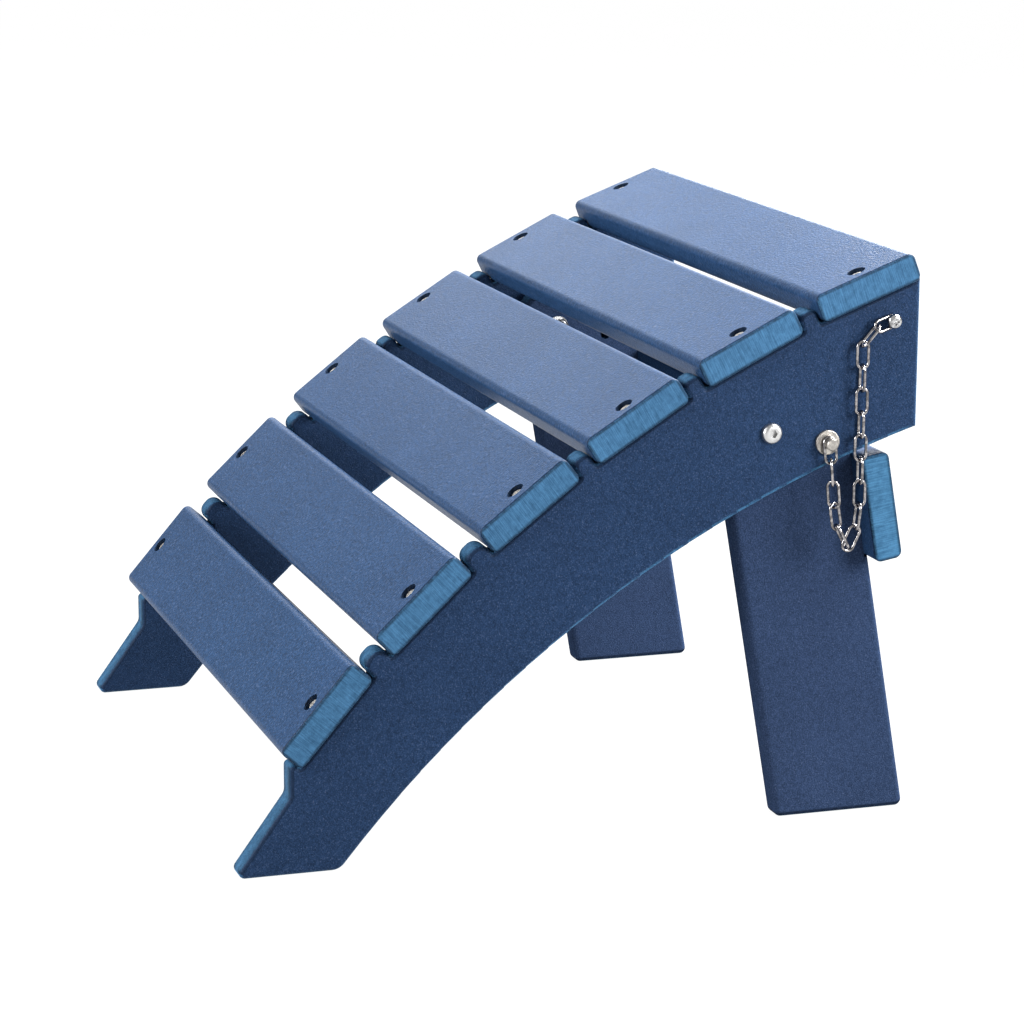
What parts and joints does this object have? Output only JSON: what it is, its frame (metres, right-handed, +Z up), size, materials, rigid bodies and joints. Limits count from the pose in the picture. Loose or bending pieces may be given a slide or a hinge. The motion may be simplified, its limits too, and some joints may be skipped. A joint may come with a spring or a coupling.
{
  "type": "folding adirondack footrest",
  "caption": "Low sloping slatted footrest on arched side rails, with rear legs that fold under it on pivot bolts and are locked by chained pins.",
  "frame": {"origin": "on the floor, midway between the side rails and midway between the toe tips and the rear ends of the feet", "axes": "+X along the slats to the right, seen by someone sitting behind the high end with the toe pointing away; +Y from the low toe end to the high end; +Z up"},
  "size_m": [0.508, 0.478, 0.3917],
  "materials": {
    "poly_lumber": "through-coloured poly lumber, satin, with fine saw lines on cut ends",
    "stainless": "bright stainless steel"
  },
  "bodies": {
    "frame": {"left_rail": "poly_lumber", "right_rail": "poly_lumber", "slat_1": "poly_lumber", "slat_2": "poly_lumber", "slat_3": "poly_lumber", "slat_4": "poly_lumber", "slat_5": "poly_lumber", "slat_6": "poly_lumber", "slat_screws": "stainless", "left_pivot_bolt": "stainless", "right_pivot_bolt": "stainless", "left_pivot_washer": "stainless", "right_pivot_washer": "stainless", "left_pivot_nut": "stainless", "right_pivot_nut": "stainless", "left_chain_screw": "stainless", "right_chain_screw": "stainless", "left_chain": "stainless", "right_chain": "stainless"},
    "legs": {"left_leg": "poly_lumber", "right_leg": "poly_lumber", "leg_stretcher": "poly_lumber", "stretcher_screws": "stainless"},
    "left_pin": {"left_lock_pin": "stainless"},
    "right_pin": {"right_lock_pin": "stainless"}
  },
  "joints": [
    {"name": "leg_fold", "type": "hinge", "parent": "frame", "child": "legs", "pos_m": [0, 0.12635, 0.27537], "axis": [1, 0, 0], "range_deg": [-67, 0]},
    {"name": "left_pin_slide", "type": "slide", "parent": "frame", "child": "left_pin", "axis": [-1, 0, 0], "range_m": [0, 0.03], "deforming": ["left_chain"]},
    {"name": "right_pin_slide", "type": "slide", "parent": "frame", "child": "right_pin", "axis": [1, 0, 0], "range_m": [0, 0.03], "deforming": ["right_chain"]}
  ]
}
